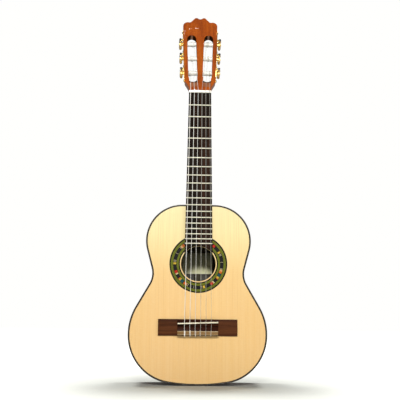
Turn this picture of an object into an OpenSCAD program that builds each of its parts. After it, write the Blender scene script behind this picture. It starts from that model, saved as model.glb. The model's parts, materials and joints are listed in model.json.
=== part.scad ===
// Classical guitar of quarter size, twelve frets to the body, slotted head.
// +Z runs up the neck and -Y points out of the soundboard. The origin is the
// centre of the soundhole, on the soundboard's outer face.

/* [Strings and fingerboard] */
// Scale length, from the nut's front edge to the middle of the saddle
scale_length = 460; // [452:1:468]
// Distance from the nut's front edge to the centre of the soundhole
nut_to_hole = 346; // [344:1:348]
// Width of the nut and of the fingerboard there
nut_width = 45; // [44:0.5:46]
// Extra fingerboard width for each millimetre down the neck
fingerboard_flare = 0.0293; // [0.027:0.0005:0.031]
// Thickness of the fingerboard
fingerboard_t = 5.5; // [5:0.1:6]
// Number of frets
fret_count = 19; // [17:1:19]

/* [Body] */
// Overall depth of the body
body_depth = 80; // [76:1:84]
// Thickness of the soundboard and of the back
plate_t = 2.5; // [2:0.1:2.8]
// Thickness of the bent ribs and width of the binding
rib_t = 2.2; // [1.8:0.1:2.5]
// Radius of the soundhole
hole_r = 34; // [32:0.5:35]
// Outer radius of the rosette
rosette_r = 56.5; // [54:0.5:58]

/* [Bridge] */
// Length of the bridge across the soundboard
bridge_l = 153; // [145:1:160]
// Width of the bridge along the strings
bridge_w = 31.5; // [29:0.5:32]
// Height of the tie block over the soundboard
tie_block_h = 8; // [7.5:0.1:8.5]

/* [Head] */
// Angle that the head leans back from the neck
head_angle = 12; // [10:0.5:14]
// Thickness of the head's wood, without the veneer
head_t = 15.5; // [15:0.1:16.5]
// Thickness of the head's veneer
veneer_t = 1.5; // [1:0.1:1.8]
// Width of each string slot
slot_w = 19; // [18.5:0.5:20]
// Distance between neighbouring rollers
roller_pitch = 35; // [35:0.1:35.2]
// Teeth on each machine gear
gear_teeth = 14; // [14:1:14]

/* [Hidden] */
$fn = 48;

// Colours
spruce = [0.93, 0.78, 0.53];
mahogany = [0.55, 0.24, 0.10];
head_red = [0.68, 0.28, 0.06];
rosewood = [0.25, 0.13, 0.08];
ebonised = [0.08, 0.06, 0.06];
binding_dark = [0.10, 0.08, 0.07];
bone = [0.94, 0.92, 0.84];
gold = [0.85, 0.62, 0.25];
steel = [0.75, 0.75, 0.76];
dark_metal = [0.13, 0.12, 0.12];

// Heights and stations. Depth grows along +Y from the soundboard's face.
z_nut = nut_to_hole;
z_saddle = z_nut - scale_length;
// The body's end stands this much above the twelfth fret
body_over = 0.8;
z_joint = z_nut - scale_length / 2 + body_over;
nut_l = 5;
z_head = z_nut + nut_l;
binding_h = 4;
lining_t = 5;
lining_h = 12;
inside_top = plate_t;
inside_back = body_depth - plate_t;
fit = 0.06;

// ---------------------------------------------------------------- outlines
// A path is a list of [length, 0] for a straight stretch and [radius, turn] for
// an arc, with turn in degrees, clockwise when positive. walk() follows it at a
// distance inset to its right, so that parallel outlines share their corners.
arc_step = 4;

function heading(a) = [cos(a), sin(a)];

function arc_points(p, a, r, turn, n) =
    let (side = turn > 0 ? -90 : 90, centre = p + r * heading(a + side))
    [for (k = [1 : n]) centre - r * heading(a - turn * k / n + side)];

function walk(path, p, a, inset = 0, i = 0) =
    i == len(path) ? [] :
    let (size = path[i][0], turn = path[i][1])
    let (n = turn == 0 ? 1 : ceil(abs(turn) / arc_step))
    let (r = size - sign(turn) * inset)
    let (made = turn == 0 ? [p + size * heading(a)] : arc_points(p, a, r, turn, n))
    concat(made, walk(path, made[n - 1], a - turn, inset, i + 1));

// Half of the body's outline, from the neck joint round to the tail
upper_bout = [[31.8, 0], [71.3, 105], [37.6, 0]];
waist = [[39.2, -45], [51, 0]];
lower_bout = [[103.6, 30], [1.2, 0], [91.8, 80.58]];
tail_turn = 9.42;
to_tail = concat(upper_bout, waist, lower_bout);
tail_start = walk(to_tail, [0, z_joint], 0);
tail_r = tail_start[len(tail_start) - 1][0] / sin(tail_turn);
body_path = concat(to_tail, [[tail_r, tail_turn]]);

function half_body(inset) =
    let (top = [0, z_joint - inset])
    concat([top], walk(body_path, top, 0, inset));

function mirrored(points) = [for (p = points) [-p[0], p[1]]];

function backwards(list) = [for (i = [len(list) - 1 : -1 : 0]) list[i]];

// A closed outline from its right half, whose first and last points lie on the centreline
function whole(half) =
    concat(half, backwards([for (i = [1 : len(half) - 2]) [-half[i][0], half[i][1]]]));

tail_points = half_body(0);
z_tail = tail_points[len(tail_points) - 1][1];

// Extrudes a shape drawn in X and Z from depth y0 to depth y1
module slab(y0, y1) {
    translate([0, y1, 0]) rotate([90, 0, 0]) linear_extrude(y1 - y0) children();
}

module body_shape(inset) {
    polygon(whole(half_body(inset)));
}

// One side's strip between two insets of the outline: side is 1 for treble, -1 for bass
module side_strip(outer, inner, side) {
    half = concat(half_body(outer), backwards(half_body(inner)));
    polygon(side > 0 ? half : mirrored(half));
}

module rim(outer, inner) {
    difference() {
        body_shape(outer);
        body_shape(inner);
    }
}

// A box centred on X, from depth y0 to y1 and from height z0 to z1
module bar(width, y0, y1, z0, z1) {
    translate([-width / 2, y0, z0]) cube([width, y1 - y0, z1 - z0]);
}

// ---------------------------------------------------------------- the body
rosette_depth = 1;
rosette_inner_r = hole_r + 2;
block_w = 62;
block_l = 32;
tail_block_w = 56;
tail_block_l = 16;
graft_w = 8;

module soundboard() {
    color(spruce) difference() {
        slab(0, plate_t) body_shape(rib_t);
        rotate([90, 0, 0]) cylinder(r = hole_r, h = 4 * plate_t, center = true);
        rotate([-90, 0, 0]) translate([0, 0, -1]) difference() {
            cylinder(r = rosette_r + 0.02, h = 1 + rosette_depth);
            translate([0, 0, -1]) cylinder(r = rosette_inner_r - 0.02, h = 3 + rosette_depth);
        }
    }
}

// Concentric rings: black, green, mosaic, green, black
module rosette() {
    band = (rosette_r - rosette_inner_r) / 10;
    shares = [0, 1, 3.4, 6.3, 8.8, 10];
    tints = [[0.08, 0.07, 0.07], [0.45, 0.48, 0.10], [0.12, 0.10, 0.10],
             [0.45, 0.48, 0.10], [0.08, 0.07, 0.07]];
    for (i = [0 : 4])
        color(tints[i]) rotate([-90, 0, 0]) difference() {
            cylinder(r = rosette_inner_r + band * shares[i + 1], h = rosette_depth);
            translate([0, 0, -1])
                cylinder(r = rosette_inner_r + band * shares[i] + (i > 0 ? 0.02 : 0), h = 3);
        }
}

module back_plate() {
    color(mahogany) slab(inside_back, body_depth) body_shape(rib_t);
}

module rib(side) {
    color(mahogany) difference() {
        slab(binding_h, body_depth - binding_h) side_strip(0, rib_t, side);
        bar(graft_w, 0, body_depth, z_tail - 5, z_tail + 5);
    }
}

module end_graft() {
    color(ebonised) intersection() {
        slab(binding_h, body_depth - binding_h) rim(0, rib_t);
        bar(graft_w, 0, body_depth, z_tail - 5, z_tail + 5);
    }
}

module binding(y0) {
    color(binding_dark) slab(y0, y0 + binding_h) rim(0, rib_t);
}

// Kerfed strips that join the ribs to a plate, stopped at the two blocks
module linings(y0) {
    color(spruce) for (side = [-1, 1]) difference() {
        slab(y0, y0 + lining_h) side_strip(rib_t, rib_t + lining_t, side);
        bar(block_w, 0, body_depth, z_joint - block_l, z_joint);
        bar(tail_block_w, 0, body_depth, z_tail, z_tail + tail_block_l + rib_t);
    }
}

module neck_block() {
    color(mahogany) bar(block_w, inside_top, inside_back, z_joint - rib_t - block_l, z_joint - rib_t);
}

module tail_block() {
    color(mahogany) intersection() {
        slab(inside_top, inside_back) body_shape(rib_t);
        bar(tail_block_w, 0, body_depth, z_tail, z_tail + tail_block_l + rib_t);
    }
}

// Cross bars fill the body between the linings' inner faces
module cross_bars(stations, width, y0, y1) {
    for (z = stations) intersection() {
        slab(y0, y1) body_shape(rib_t + lining_t);
        bar(400, y0 - 1, y1 + 1, z - width / 2, z + width / 2);
    }
}

harmonic_z = [62, -62];
back_brace_z = [50, -50, -140];

module harmonic_bars() {
    color(spruce) cross_bars(harmonic_z, 7, inside_top, inside_top + 14);
}

module back_braces() {
    color(spruce) cross_bars(back_brace_z, 8, inside_back - 12, inside_back);
}

// Five struts fan out below the lower harmonic bar and are notched over the bridge's patch
patch_l = 150;
patch_t = 2;

module fan_braces() {
    color(spruce) {
        difference() {
            for (i = [-2 : 2])
                translate([22 * i, inside_top, -130]) rotate([0, -4 * i, 0])
                    bar(5, 0, 5, -66, 60);
            bar(patch_l + 1, 0, inside_top + patch_t + 0.05, z_saddle - 20.5, z_saddle + 4.5);
        }
        bar(patch_l, inside_top, inside_top + patch_t, z_saddle - 20, z_saddle + 4);
    }
}

module back_centre_strip() {
    color(spruce) difference() {
        bar(14, inside_back - strip_t, inside_back,
            z_tail + tail_block_l + rib_t, z_joint - rib_t - block_l);
        for (z = back_brace_z) bar(20, 0, body_depth, z - 4, z + 4);
    }
}

// A paper label on the back's centre strip, framed by the soundhole
strip_t = 1.5;
label_z = [-15, 28];

module label() {
    color("ivory")
        bar(62, inside_back - strip_t - 0.3, inside_back - strip_t, label_z[0], label_z[1]);
}

// ---------------------------------------------------------------- the neck
function fingerboard_width(u) = nut_width + fingerboard_flare * u;

shaft_depth = 15;
heel_start = 168;
heel_front = 214;
heel_depth = inside_back;
heel_foot_w = 24;
u_joint = z_nut - z_joint;

// Depth of the neck behind the fingerboard at a distance u below the nut
function neck_depth(u) =
    let (s = min(1, max(0, (u - heel_start) / (heel_front - heel_start))))
    shaft_depth + 0.006 * max(0, u)
    + (heel_depth - shaft_depth - 0.006 * max(0, u)) * (1 - sqrt(1 - s * s));

function heel_share(u) = (neck_depth(u) - shaft_depth) / (heel_depth - shaft_depth);

// Half of the width of the heel's foot, which comes to a point in front
function foot_half(u) =
    let (s = min(1, max(0, (u - heel_front) / (u_joint - heel_front))))
    0.4 + (heel_foot_w / 2 - 0.4) * sqrt(1 - (1 - s) * (1 - s));

function neck_half(u, t) =
    let (half = fingerboard_width(u) / 2, b = heel_share(u), foot = foot_half(u))
    let (shaft = half * sqrt(max(0, 1 - pow(t, 2.2))))
    let (heel = foot + (half - foot) * pow(1 - t, 1.7))
    max(0.4, (1 - b) * shaft + b * heel);

neck_rows = 10;
neck_stations = concat(
    [for (k = [0 : 4]) -nut_l + (heel_start + nut_l) * k / 4],
    [for (k = [1 : 12]) heel_start + (heel_front - heel_start) * sin(90 * k / 12)],
    [for (k = [1 : 6]) heel_front + (u_joint - heel_front) * pow(k / 6, 2)]
);

function neck_section(u) = concat(
    [for (k = [0 : neck_rows]) let (t = sin(90 * k / neck_rows))
        [neck_half(u, t), neck_depth(u) * t, z_nut - u]],
    [for (k = [neck_rows : -1 : 0]) let (t = sin(90 * k / neck_rows))
        [-neck_half(u, t), neck_depth(u) * t, z_nut - u]]
);

// Skins a list of rings that have the same number of points, and caps its ends
module loft(rings) {
    n = len(rings[0]);
    last = (len(rings) - 1) * n;
    points = [for (ring = rings) for (p = ring) p];
    sides = [for (i = [0 : len(rings) - 2]) for (k = [0 : n - 1])
        let (a = i * n + k, b = i * n + (k + 1) % n)
        for (face = [[a, b, b + n], [a, b + n, a + n]]) face];
    caps = [[for (k = [n - 1 : -1 : 0]) k], [for (k = [0 : n - 1]) last + k]];
    polyhedron(points, concat(sides, caps), convexity = 6);
}

module neck() {
    color(mahogany) loft([for (u = neck_stations) neck_section(u)]);
}

// The cap closes the heel's foot, level with the back
module heel_cap() {
    steps = [for (k = [0 : 6]) heel_front + (u_joint - heel_front) * pow(k / 6, 2)];
    half = [for (u = steps) [foot_half(u), z_nut - u]];
    color(ebonised) slab(heel_depth, body_depth)
        polygon(concat(half, backwards(mirrored(half))));
}

// ---------------------------------------------------------------- the fingerboard
fret_w = 2.2;
fret_h = 1;
tang_w = 0.6;
tang_h = 2;

function fret_u(n) = scale_length * (1 - pow(2, -n / 12));

module fingerboard() {
    end_u = nut_to_hole - 20;
    half = [[nut_width / 2, z_nut], [fingerboard_width(end_u) / 2, z_nut - end_u]];
    color(ebonised) difference() {
        slab(-fingerboard_t, 0) polygon(concat(half, backwards(mirrored(half))));
        rotate([90, 0, 0]) cylinder(r = hole_r + 0.3, h = 4 * fingerboard_t, center = true);
        for (n = [1 : fret_count])
            bar(80, -fingerboard_t - 1, tang_h - fingerboard_t,
                z_nut - fret_u(n) - tang_w / 2, z_nut - fret_u(n) + tang_w / 2);
    }
}

// Each fret is a rounded crown over a tang that fills its slot
module fret(n) {
    length = fingerboard_width(fret_u(n)) - 0.4;
    crown_r = (pow(fret_w / 2, 2) + pow(fret_h, 2)) / (2 * fret_h);
    translate([-length / 2, -fingerboard_t, z_nut - fret_u(n)]) rotate([90, 0, 90])
        linear_extrude(length) {
            intersection() {
                translate([crown_r - fret_h, 0]) circle(r = crown_r);
                translate([-fret_h, -fret_w]) square([fret_h, 2 * fret_w]);
            }
            translate([-0.01, -tang_w / 2]) square([tang_h + 0.01, tang_w]);
        }
}

module frets() {
    color(gold) for (n = [1 : fret_count]) fret(n);
}

// ---------------------------------------------------------------- strings' heights
string_d = [1.09, 0.89, 0.74, 1.03, 0.82, 0.71]; // from the sixth string to the first
nut_spacing = 7.74;
saddle_spacing = 10.3;
nut_top = fingerboard_t + fret_h + 0.5;
saddle_top = nut_top + 4.6;
nut_h = nut_top + 0.6;
saddle_slant = 2;

function nut_x(k) = (k - 2.5) * nut_spacing;
function saddle_x(k) = (k - 2.5) * saddle_spacing;

module nut() {
    color(bone) difference() {
        bar(nut_width, -nut_h, 0, z_nut, z_head);
        for (k = [0 : 5])
            translate([nut_x(k) - string_d[k] / 2 - 0.05, -nut_h - 1, z_nut - 1])
                cube([string_d[k] + 0.1, nut_h - nut_top + 1, nut_l + 2]);
    }
}

// ---------------------------------------------------------------- the bridge
bridge_top_z = z_saddle + 7.2;
bridge_bottom_z = bridge_top_z - bridge_w;
bridge_mid = 79;
wing_t = 3.4;
wing_crown = 1.2;
front_h = 7;
saddle_l = 78;
saddle_t = 2.8;
saddle_seat = 3;
tie_block_z = bridge_bottom_z + 9;
inlay_low_z = bridge_bottom_z + 1.5;
channel_h = 2.6;
inlay_t = 0.8;
tie_hole_r = 0.9;
tie_hole_y = -4.4;

module saddle_place() {
    translate([0, 0, z_saddle]) rotate([0, -saddle_slant, 0]) children();
}

// A shape drawn in Y and Z, drawn out along X and centred on it
module across(length) {
    rotate([90, 0, 90]) linear_extrude(length, center = true) children();
}

// The wings are crowned, and the middle steps up to the saddle and the tie block
module wing_profile() {
    crown_r = (pow(bridge_w / 2, 2) + pow(wing_crown, 2)) / (2 * wing_crown);
    intersection() {
        translate([-wing_t, bridge_bottom_z]) square([wing_t, bridge_w]);
        translate([crown_r - wing_t, bridge_bottom_z + bridge_w / 2]) circle(r = crown_r, $fn = 240);
    }
}

module middle_profile() {
    polygon([
        [0, bridge_bottom_z], [-tie_block_h, bridge_bottom_z], [-tie_block_h, tie_block_z],
        [-channel_h, tie_block_z], [-channel_h, z_saddle - 4.6], [-front_h, z_saddle - 4.6],
        [-front_h, z_saddle + 3.4], [2 - front_h, bridge_top_z], [0, bridge_top_z]
    ]);
}

module bridge() {
    color(rosewood) difference() {
        union() {
            across(bridge_mid) middle_profile();
            across(bridge_l) wing_profile();
        }
        bar(bridge_mid - 1, -20, inlay_t - tie_block_h, inlay_low_z, tie_block_z + 1);
        bar(bridge_mid - 1, -20, -channel_h, tie_block_z, z_saddle - 4.6);
        saddle_place() bar(saddle_l, -20, -saddle_seat, -saddle_t / 2, saddle_t / 2);
        for (k = [0 : 5])
            translate([saddle_x(k), tie_hole_y, bridge_bottom_z - 1])
                cylinder(r = tie_hole_r, h = 12);
    }
}

module tie_block_inlay() {
    color([0.72, 0.52, 0.32])
        bar(bridge_mid - 1, -tie_block_h, inlay_t - tie_block_h, inlay_low_z, tie_block_z);
}

module saddle() {
    half = saddle_t / 2 - 0.05;
    color(bone) saddle_place() across(saddle_l - 0.1) {
        translate([half - saddle_top, 0]) circle(r = half);
        translate([half - saddle_top, -half]) square([saddle_top - half - saddle_seat, 2 * half]);
    }
}

// ---------------------------------------------------------------- the head
edge_lean = 2;
edge_half = 34.05;
edge_v = 95;
cheek_t = 7.8;
first_roller_v = 45.8;
roller_v = [for (i = [0 : 2]) first_roller_v + i * roller_pitch];
slot_bottom = 25.4;
slot_top = 133.3;
ramp_start_v = 7;
ramp_angle = 24;
roller_w = 7.5;
roller_r = 5;
seat_depth = 4;
axle_r = 2;
roller_span = cheek_t + slot_w + seat_depth;

// Half of the head's outline, from the crest's dip down the edge to the nut.
// The straight stretch before the last bend brings it in to the nut's width.
crest_v = 174.2;
throat_lean = 30;
crest_path = [[7, -42], [5, 90], [11, 0], [4.5, -56], [1.7, 0], [10, 100], [131, 0],
    [8, throat_lean - edge_lean]];
crest_end_points = walk(crest_path, [0, crest_v], 0);
crest_end = crest_end_points[len(crest_end_points) - 1];
throat_r = 8;
throat_l = (crest_end[0] - nut_width / 2 - throat_r * (1 - cos(throat_lean))) / sin(throat_lean);
head_path = concat(crest_path, [[throat_l, 0], [throat_r, -throat_lean], [9, 0]]);
head_half = concat([[0, crest_v]], walk(head_path, [0, crest_v], 0));

// Moves a child from the head's own axes: X across, Y into its thickness, Z up its face
module on_head() {
    translate([0, 0, z_head]) rotate([-head_angle, 0, 0]) children();
}

// Moves a child to one edge of the head: X outwards from the cheek's face, Z up the edge
module on_edge(side) {
    mirror([side < 0 ? 1 : 0, 0, 0]) translate([edge_half, 0, edge_v]) rotate([0, edge_lean, 0])
        children();
}

module slot_shape() {
    r = slot_w / 2;
    ends = [[slot_top - edge_v - r, 0], [slot_bottom - edge_v + r, 180]];
    polygon([for (e = ends) for (k = [0 : 12])
        [-cheek_t - r + r * cos(e[1] + 15 * k), e[0] + r * sin(e[1] + 15 * k)]]);
}

module head_blank(y0, y1) {
    slab(y0, y1)
        polygon(concat(head_half, backwards([for (i = [1 : len(head_half) - 1])
            [-head_half[i][0], head_half[i][1]]])));
}

// What is cut through the head and its veneer: the slots and the strings' ramps
module slot_cuts() {
    for (side = [-1, 1]) on_edge(side) {
        slab(-5, head_t + 5) slot_shape();
        translate([-cheek_t - slot_w + 1.5, -veneer_t, ramp_start_v - edge_v])
            rotate([-ramp_angle, 0, 0]) translate([0, -12, 0]) cube([slot_w - 3, 12, 26]);
    }
}

module head_trim() {
    translate([-100, -100, -50]) cube([200, 200, 50]);
}

module headstock() {
    color(head_red) difference() {
        on_head() difference() {
            head_blank(0, head_t);
            slot_cuts();
            for (side = [-1, 1]) on_edge(side) {
                for (v = roller_v) translate([-roller_span, roller_w, v - edge_v])
                    rotate([0, 90, 0]) cylinder(r = roller_r + fit, h = roller_span + 5);
                for (q = plate_screw_q) translate([-screw_l, roller_w, q])
                    rotate([0, 90, 0]) cylinder(r = screw_r, h = screw_l + 5);
            }
        }
        translate([0, 0, z_head]) head_trim();
    }
}

module head_veneer() {
    color(head_red) difference() {
        on_head() difference() {
            head_blank(-veneer_t, 0);
            slot_cuts();
        }
        translate([0, 0, z_head]) head_trim();
    }
}

// ---------------------------------------------------------------- the tuning machines
plate_ends_q = [-71, 56];
plate_ear = 8;
plate_ear_r = 2.4;
plate_w = 13;
metal_t = 1.2;
plate_screw_q = [-66.7, -31.7, 3.3, 50.5];
screw_l = 6;
screw_r = 1.2;
machine_p = 6.4;
tooth_pitch = 2.356;
gear_r = gear_teeth * tooth_pitch / (2 * PI);
worm_r = 2.3;
worm_rise = gear_r + worm_r;
gear_t = 3;
shaft_r = 1.6;
tab_t = 1.5;
tab_w = 5.6;
front_tab = roller_w - plate_w / 2;
back_tab = roller_w + plate_w / 2 - tab_t;
square_end = 3;
shaft_end = 24;
worm_cap_r = 2.4;

// Rod of radius r along the head's thickness, from depth y0 to y1
module rod(r, y0, y1) {
    translate([0, y0, 0]) rotate([-90, 0, 0]) cylinder(r = r, h = y1 - y0);
}

// Rod of radius r outwards from the head, from x0 to x1
module pin(r, x0, x1) {
    translate([x0, 0, 0]) rotate([0, 90, 0]) cylinder(r = r, h = x1 - x0);
}

// The plate's outline along the cheek: straight sides and stepped round ends
module plate_shape() {
    half = (plate_ends_q[1] - plate_ends_q[0]) / 2;
    translate([roller_w, plate_ends_q[0] + half]) {
        square([plate_w, 2 * (half - plate_ear - 3)], center = true);
        for (end = [-1, 1]) {
            translate([0, end * (half - plate_ear)]) circle(r = plate_w / 2 - 1.5);
            translate([0, end * (half - plate_ear_r)]) circle(r = plate_ear_r);
        }
    }
}

module tuner_plate(side) {
    color(gold) on_head() on_edge(side) difference() {
        union() {
            rotate([90, 0, 90]) linear_extrude(metal_t) plate_shape();
            for (v = roller_v) for (w = [front_tab, back_tab])
                translate([metal_t - 0.2, w, v - edge_v + worm_rise - tab_w / 2])
                    cube([machine_p + 2.4 - metal_t + 0.2, tab_t, tab_w]);
        }
        for (v = roller_v) {
            translate([0, roller_w, v - edge_v]) pin(axle_r + fit, -1, 3);
            translate([machine_p, 0, v - edge_v + worm_rise]) rod(shaft_r + fit, 0, 18);
        }
        for (q = plate_screw_q) translate([0, roller_w, q]) pin(screw_r, -1, 3);
    }
}

// Round-headed wood screws
module tuner_screws() {
    color(dark_metal) for (side = [-1, 1]) on_head() on_edge(side)
        for (q = plate_screw_q) translate([0, roller_w, q]) {
            pin(screw_r, -screw_l, metal_t);
            difference() {
                pin(2.3, metal_t, metal_t + 1.1);
                translate([metal_t + 0.6, -0.3, -4]) cube([3, 0.6, 8]);
            }
        }
}

function machine_side(k) = k < 3 ? -1 : 1;
function machine_v(k) = k < 3 ? roller_v[k] : roller_v[5 - k];

// Places a child at a machine's roller: X outwards along the axle, Y into the head, Z up
module at_machine(k) {
    on_head() on_edge(machine_side(k)) translate([0, roller_w, machine_v(k) - edge_v]) children();
}

wrap_x = [-13.5, -18, -21.2, -21.2, -18, -13.5];
wrap_turns = 3;
wrap_gap = 0.06;

// Sleeve with its string hole, the axle with a square end, and the string's wraps
module roller(k) {
    r = string_d[k] / 2;
    at_machine(k) {
        color(bone) difference() {
            union() {
                pin(roller_r, -roller_span + 0.2, -0.15);
                pin(axle_r, -1, metal_t + 0.15);
                translate([metal_t, -square_end / 2, -square_end / 2])
                    cube([machine_p + gear_t / 2 - metal_t, square_end, square_end]);
            }
            pin(1, machine_p - 3, machine_p + 5);
            translate([wrap_x[k] + wrap_turns * (string_d[k] + wrap_gap) + r + 1.1, 0, 0])
                cylinder(r = 0.9, h = 30, center = true);
        }
        color(steel) for (i = [1 : wrap_turns])
            translate([wrap_x[k] + i * (string_d[k] + wrap_gap), 0, 0]) rotate([0, 90, 0])
                rotate_extrude() translate([roller_r + r + 0.02, 0]) circle(r = r);
    }
}

// Straight teeth with a wide backlash, a boss on the inside, and the retaining screw
function tooth(i) =
    let (a = 360 * i / gear_teeth, step = 360 / gear_teeth)
    [[gear_r - 0.95, a - 0.30 * step], [gear_r - 0.95, a - 0.20 * step],
     [gear_r + 0.55, a - 0.09 * step], [gear_r + 0.55, a + 0.09 * step],
     [gear_r - 0.95, a + 0.20 * step], [gear_r - 0.95, a + 0.30 * step]];

module gear(k) {
    inner = machine_p - gear_t / 2;
    at_machine(k) color(gold) {
        difference() {
            union() {
                translate([inner, 0, 0]) rotate([90, 0, 90]) linear_extrude(gear_t)
                    polygon([for (i = [0 : gear_teeth - 1]) for (p = tooth(i))
                        p[0] * heading(90 + 360 / gear_teeth / 2 + p[1])]);
                translate([metal_t + 0.2, 0, 0]) rotate([0, 90, 0])
                    cylinder(r = 3.2, h = inner - metal_t, $fn = 12);
            }
            translate([0, -square_end / 2, -square_end / 2])
                cube([20, square_end, square_end]);
        }
        difference() {
            union() {
                pin(2.6, machine_p + gear_t / 2, machine_p + gear_t / 2 + 1.3);
                pin(1, machine_p - 1, machine_p + gear_t / 2 + 0.5);
            }
            translate([machine_p + gear_t / 2 + 0.7, -0.35, -4]) cube([3, 0.7, 8]);
        }
    }
}

// Steel shaft in the plate's two tabs, with the worm's thread round it
thread_turns = 3;
thread_start = -thread_turns / 2 * tooth_pitch;
thread_sides = 16;

function thread_ring(i) =
    let (turn = i / thread_sides, w = thread_start + tooth_pitch * turn, a = 360 * turn - 90)
    let (grow = min(1, min(i, thread_turns * thread_sides - i) / 6))
    [for (c = [[shaft_r - 0.25, -0.75], [worm_r + 0.55 * grow, -0.32],
               [worm_r + 0.55 * grow, 0.32], [shaft_r - 0.25, 0.75]])
        [c[0] * cos(a), w + c[1], -c[0] * sin(a)]];

module worm(k) {
    at_machine(k) translate([machine_p, 0, worm_rise]) {
        color(dark_metal) {
            loft([for (i = [0 : floor(thread_turns * thread_sides)]) thread_ring(i)]);
            rod(shaft_r, front_tab - roller_w - 1, shaft_end - roller_w);
            rod(worm_cap_r, front_tab - roller_w - 2.5, front_tab - roller_w - 0.25);
            rod(2.2, back_tab + tab_t + 0.2 - roller_w, back_tab + tab_t + 1.4 - roller_w);
        }
    }
}

button_l = 16;
button_w = 13;
button_t = 6.5;
button_start = 17.4;

// Flattened pear-shaped grip with a collar round the shaft
module button(k) {
    at_machine(k) color(bone) translate([machine_p, -roller_w, worm_rise]) difference() {
        union() {
            rod(3.2, button_start, button_start + 4);
            translate([-button_t / 2, 0, 0]) rotate([90, 0, 90]) linear_extrude(button_t) {
                translate([button_start + 3, -2.5]) square([6, 5]);
                translate([button_start + button_l - 6.5, 0]) circle(r = button_w / 2);
            }
        }
        rod(shaft_r, 0, shaft_end);
    }
}

// ---------------------------------------------------------------- the strings
string_sides = 8;

// The head's axes to the guitar's own
function from_head(p) = [
    p[0],
    p[1] * cos(head_angle) + p[2] * sin(head_angle),
    z_head - p[1] * sin(head_angle) + p[2] * cos(head_angle)
];

// A point at a machine, in the same axes as at_machine(), to the guitar's own
function from_machine(k, p) =
    let (s = machine_side(k), q = p[2] + machine_v(k) - edge_v)
    from_head([s * (edge_half + p[0] * cos(edge_lean) + q * sin(edge_lean)),
               p[1] + roller_w, edge_v - p[0] * sin(edge_lean) + q * cos(edge_lean)]);

// Where a string at a distance lie from its roller's axis leaves it for the nut, as an
// angle from the roller's front up towards the head's crest
function leave_angle(k, lie) =
    let (y = -nut_top * cos(head_angle) - roller_w, z = -nut_top * sin(head_angle) - machine_v(k))
    atan(y / z) - asin(lie / norm([y, z]));

// Route of one string: half a turn on its roller, the nut, the saddle, the tie hole
// and the loop over the tie block
function string_route(k) =
    let (r = string_d[k] / 2, x = saddle_x(k), lie = roller_r + r + 0.12)
    let (back = bridge_bottom_z, side = k < 3 ? 1 : -1)
    let (over = -tie_block_h - r - 0.05, low = tie_hole_y)
    let (leave = leave_angle(k, lie), slant = x * tan(saddle_slant))
    concat(
        [for (a = concat([for (i = [11 : -1 : 2]) 15 * i], leave))
            from_machine(k, [wrap_x[k], -lie * cos(a), lie * sin(a)])],
        [[nut_x(k), -nut_top - r - 0.03, z_head + 0.4],
         [nut_x(k), -nut_top - r - 0.06, z_nut - 0.4],
         [x, -saddle_top - r - 0.05, z_saddle + 0.6 + slant],
         [x, -saddle_top - r - 0.05, z_saddle - 0.6 + slant],
         [x, low - 0.4, tie_block_z + 1],
         [x, low, tie_block_z - 1],
         [x, low, back - 0.4]],
        [for (a = [30 : 30 : 150])
            [x + side * a / 110, (low + over) / 2 - (low - over) / 2 * -cos(a),
             back - 0.4 - 1.5 * sin(a)]],
        [[x + side * 1.6, over, back - 0.2], [x + side * 1.6, over, tie_block_z + 0.4]]
    );

function unit(v) = v / norm(v);

// Rings across the route's own direction, each turned half way between its neighbours
function string_rings(route, r) =
    [for (i = [0 : len(route) - 1])
        let (before = route[max(0, i - 1)], after = route[min(len(route) - 1, i + 1)])
        let (into = i == 0 ? unit(after - route[i]) : unit(route[i] - before))
        let (out = i == len(route) - 1 ? into : unit(after - route[i]))
        let (t = unit(into + out), b = unit(cross(t, cross([1, 0, 0], t))), n = cross(t, b))
        [for (m = [0 : string_sides - 1])
            route[i] + r * (cos(360 * m / string_sides) * b + sin(360 * m / string_sides) * n)]];

module string(k) {
    color(k < 3 ? steel : [0.9, 0.9, 0.88]) loft(string_rings(string_route(k), string_d[k] / 2));
}

// ---------------------------------------------------------------- what is drawn
soundboard();
rosette();
back_plate();
rib(-1);  // rib_bass
rib(1);  // rib_treble
linings(inside_top);  // top_linings
linings(inside_back - lining_h);  // back_linings
neck_block();
tail_block();
harmonic_bars();
fan_braces();
back_braces();
back_centre_strip();
binding(0);  // top_binding
binding(body_depth - binding_h);  // back_binding
end_graft();
label();
neck();
headstock();
head_veneer();
heel_cap();
fingerboard();
frets();
nut();
bridge();
tie_block_inlay();
saddle();
tuner_plate(-1);  // tuner_plate_bass
tuner_plate(1);  // tuner_plate_treble
tuner_screws();
for (k = [0 : 5]) {
    string(k);
    roller(k);
    gear(k);
    worm(k);
    button(k);
}
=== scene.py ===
"""The looks of a quarter-size classical guitar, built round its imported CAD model.

The frame is the CAD's own, in metres: the origin is the soundhole's centre on the soundboard's
face, +Z runs up the neck and -Y points out of the soundboard. Places taken from the frame are
in metres, and so are the lights, the camera and the floor. Sizes of the pieces chosen here are in
millimetres, and MM, mm() or Machine.at() converts them.
"""

import json
import math

import bmesh
import bpy
from mathutils import Matrix, Vector


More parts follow.
